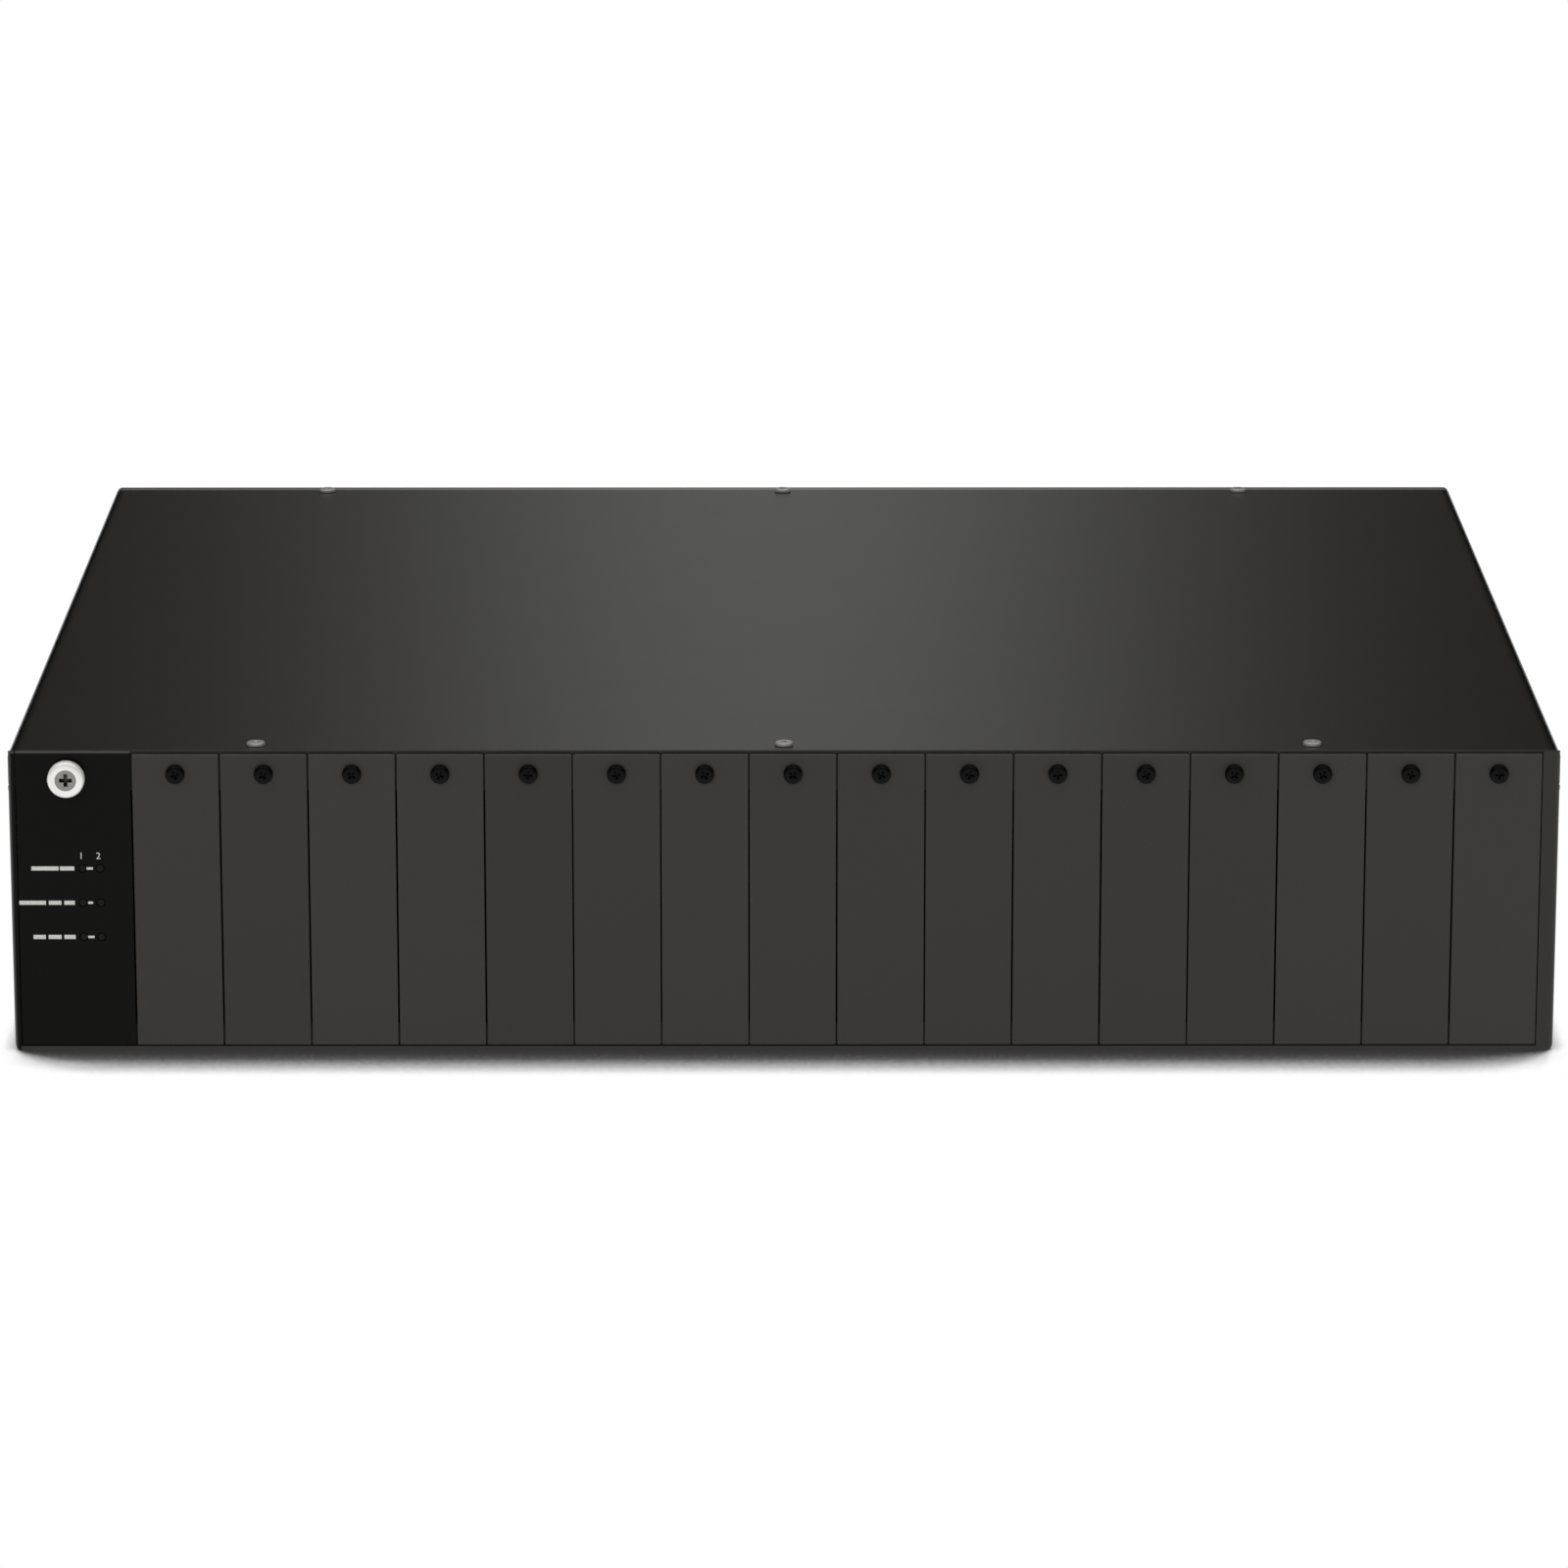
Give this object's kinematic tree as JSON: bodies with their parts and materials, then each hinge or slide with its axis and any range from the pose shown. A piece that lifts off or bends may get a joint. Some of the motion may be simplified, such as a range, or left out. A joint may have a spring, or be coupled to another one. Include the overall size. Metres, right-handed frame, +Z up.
{
  "type": "media converter chassis",
  "caption": "Two-unit rack chassis with blank slot plates, an indicator module, a rear power module, an empty power bay, fans and a lift-off cover.",
  "frame": {"origin": "centre of the flat base", "axes": "+X to the right seen from the front, +Y to the rear, +Z up; the front plates face -Y"},
  "size_m": [0.44, 0.3864, 0.089],
  "materials": {
    "body_paint": "fine textured powder coat",
    "cover_paint": "fine textured powder coat",
    "plate_paint": "fine textured powder coat",
    "frame_black": "satin black paint",
    "panel_gloss": "gloss overlay",
    "nickel": "bright nickel plate",
    "black_screw": "black oxide",
    "wire_chrome": "bright",
    "brass_plate": "yellow zinc",
    "galvanised_steel": "galvanised",
    "heatsink_alloy": "plain extrusion",
    "guide_plastic": "moulded",
    "fan_plastic": "moulded",
    "rotor_plastic": "moulded",
    "connector_black": "moulded",
    "connector_ivory": "moulded",
    "rocker_plastic": "moulded",
    "circuit_board": "solder mask",
    "power_board": "laminate",
    "ferrite": "ferrite and yellow tape",
    "capacitor_sleeve": "shrink sleeve",
    "lamp_lens": "diffused lens",
    "lead_insulation": "insulated wire",
    "blade_metal": "plated"
  },
  "bodies": {
    "chassis": {"base_tray": "body_paint", "rear_panel": "body_paint", "front_frame": "frame_black", "lower_card_guide": "guide_plastic", "upper_card_guide": "guide_plastic", "midplane_board": "circuit_board", "card_plugs": "connector_ivory", "midplane_brackets": "galvanised_steel", "rear_sockets": "connector_black", "bay_1_guide": "galvanised_steel", "bay_2_guide": "galvanised_steel", "fan_1_frame": "fan_plastic", "fan_2_frame": "fan_plastic", "fan_guards": "wire_chrome", "fan_screws": "black_screw", "fan_leads": "lead_insulation", "ground_screw": "brass_plate"},
    "cover": {"top_cover": "cover_paint", "cover_screws": "nickel"},
    "fan_1_rotor": {"fan_1_rotor": "rotor_plastic"},
    "fan_2_rotor": {"fan_2_rotor": "rotor_plastic"},
    "indicator_module": {"indicator_faceplate": "panel_gloss", "indicator_board": "circuit_board", "indicator_lights": "lamp_lens", "indicator_brackets": "galvanised_steel"},
    "indicator_thumbscrew": {"indicator_thumbscrew": "nickel"},
    "power_module": {"psu_case": "galvanised_steel", "psu_lid": "galvanised_steel", "psu_faceplate": "body_paint", "psu_board": "power_board", "psu_transformer": "ferrite", "psu_capacitors": "capacitor_sleeve", "psu_heatsinks": "heatsink_alloy", "psu_inlet": "connector_black", "psu_inlet_blades": "blade_metal", "psu_switch_housing": "connector_black", "psu_handle": "wire_chrome", "psu_plug": "connector_black"},
    "power_rocker": {"psu_rocker": "rocker_plastic"},
    "psu_thumbscrew_left": {"psu_thumbscrew_left": "nickel"},
    "psu_thumbscrew_right": {"psu_thumbscrew_right": "nickel"},
    "bay_cover": {"bay_cover": "body_paint"},
    "bay_cover_thumbscrew_left": {"bay_cover_thumbscrew_left": "nickel"},
    "bay_cover_thumbscrew_right": {"bay_cover_thumbscrew_right": "nickel"},
    "blank_01": {"blank_01": "plate_paint"},
    "blank_02": {"blank_02": "plate_paint"},
    "blank_03": {"blank_03": "plate_paint"},
    "blank_04": {"blank_04": "plate_paint"},
    "blank_05": {"blank_05": "plate_paint"},
    "blank_06": {"blank_06": "plate_paint"},
    "blank_07": {"blank_07": "plate_paint"},
    "blank_08": {"blank_08": "plate_paint"},
    "blank_09": {"blank_09": "plate_paint"},
    "blank_10": {"blank_10": "plate_paint"},
    "blank_11": {"blank_11": "plate_paint"},
    "blank_12": {"blank_12": "plate_paint"},
    "blank_13": {"blank_13": "plate_paint"},
    "blank_14": {"blank_14": "plate_paint"},
    "blank_15": {"blank_15": "plate_paint"},
    "blank_16": {"blank_16": "plate_paint"}
  },
  "joints": [
    {"name": "cover_lift", "type": "slide", "parent": "chassis", "child": "cover", "axis": [0, 0, 1], "range_m": [0, 0.1]},
    {"name": "fan_1_spin", "type": "hinge", "parent": "chassis", "child": "fan_1_rotor", "pos_m": [0.046, 0.1638, 0.044], "axis": [0, 1, 0], "continuous": true},
    {"name": "fan_2_spin", "type": "hinge", "parent": "chassis", "child": "fan_2_rotor", "pos_m": [-0.046, 0.1638, 0.044], "axis": [0, 1, 0], "continuous": true},
    {"name": "indicator_pull", "type": "slide", "parent": "chassis", "child": "indicator_module", "axis": [0, -1, 0], "range_m": [0, 0.16]},
    {"name": "indicator_screw_turn", "type": "hinge", "parent": "indicator_module", "child": "indicator_thumbscrew", "pos_m": [-0.20325, -0.1775, 0.0805], "axis": [0, -1, 0], "continuous": true},
    {"name": "power_module_pull", "type": "slide", "parent": "chassis", "child": "power_module", "axis": [0, 1, 0], "range_m": [0, 0.21]},
    {"name": "rocker_tip", "type": "hinge", "parent": "power_module", "child": "power_rocker", "pos_m": [0.166, 0.1792, 0.032], "axis": [1, 0, 0], "range_deg": [0, 18]},
    {"name": "psu_screw_left_turn", "type": "hinge", "parent": "power_module", "child": "psu_thumbscrew_left", "pos_m": [0.105, 0.179, 0.044], "axis": [0, 1, 0], "continuous": true},
    {"name": "psu_screw_right_turn", "type": "hinge", "parent": "power_module", "child": "psu_thumbscrew_right", "pos_m": [0.211, 0.179, 0.044], "axis": [0, 1, 0], "continuous": true},
    {"name": "bay_cover_pull", "type": "slide", "parent": "chassis", "child": "bay_cover", "axis": [0, 1, 0], "range_m": [0, 0.04]},
    {"name": "bay_cover_screw_left_turn", "type": "hinge", "parent": "bay_cover", "child": "bay_cover_thumbscrew_left", "pos_m": [-0.211, 0.179, 0.044], "axis": [0, 1, 0], "continuous": true},
    {"name": "bay_cover_screw_right_turn", "type": "hinge", "parent": "bay_cover", "child": "bay_cover_thumbscrew_right", "pos_m": [-0.105, 0.179, 0.044], "axis": [0, 1, 0], "continuous": true},
    {"name": "blank_01_pull", "type": "slide", "parent": "chassis", "child": "blank_01", "axis": [0, -1, 0], "range_m": [0, 0.04]},
    {"name": "blank_02_pull", "type": "slide", "parent": "chassis", "child": "blank_02", "axis": [0, -1, 0], "range_m": [0, 0.04]},
    {"name": "blank_03_pull", "type": "slide", "parent": "chassis", "child": "blank_03", "axis": [0, -1, 0], "range_m": [0, 0.04]},
    {"name": "blank_04_pull", "type": "slide", "parent": "chassis", "child": "blank_04", "axis": [0, -1, 0], "range_m": [0, 0.04]},
    {"name": "blank_05_pull", "type": "slide", "parent": "chassis", "child": "blank_05", "axis": [0, -1, 0], "range_m": [0, 0.04]},
    {"name": "blank_06_pull", "type": "slide", "parent": "chassis", "child": "blank_06", "axis": [0, -1, 0], "range_m": [0, 0.04]},
    {"name": "blank_07_pull", "type": "slide", "parent": "chassis", "child": "blank_07", "axis": [0, -1, 0], "range_m": [0, 0.04]},
    {"name": "blank_08_pull", "type": "slide", "parent": "chassis", "child": "blank_08", "axis": [0, -1, 0], "range_m": [0, 0.04]},
    {"name": "blank_09_pull", "type": "slide", "parent": "chassis", "child": "blank_09", "axis": [0, -1, 0], "range_m": [0, 0.04]},
    {"name": "blank_10_pull", "type": "slide", "parent": "chassis", "child": "blank_10", "axis": [0, -1, 0], "range_m": [0, 0.04]},
    {"name": "blank_11_pull", "type": "slide", "parent": "chassis", "child": "blank_11", "axis": [0, -1, 0], "range_m": [0, 0.04]},
    {"name": "blank_12_pull", "type": "slide", "parent": "chassis", "child": "blank_12", "axis": [0, -1, 0], "range_m": [0, 0.04]},
    {"name": "blank_13_pull", "type": "slide", "parent": "chassis", "child": "blank_13", "axis": [0, -1, 0], "range_m": [0, 0.04]},
    {"name": "blank_14_pull", "type": "slide", "parent": "chassis", "child": "blank_14", "axis": [0, -1, 0], "range_m": [0, 0.04]},
    {"name": "blank_15_pull", "type": "slide", "parent": "chassis", "child": "blank_15", "axis": [0, -1, 0], "range_m": [0, 0.04]},
    {"name": "blank_16_pull", "type": "slide", "parent": "chassis", "child": "blank_16", "axis": [0, -1, 0], "range_m": [0, 0.04]}
  ]
}
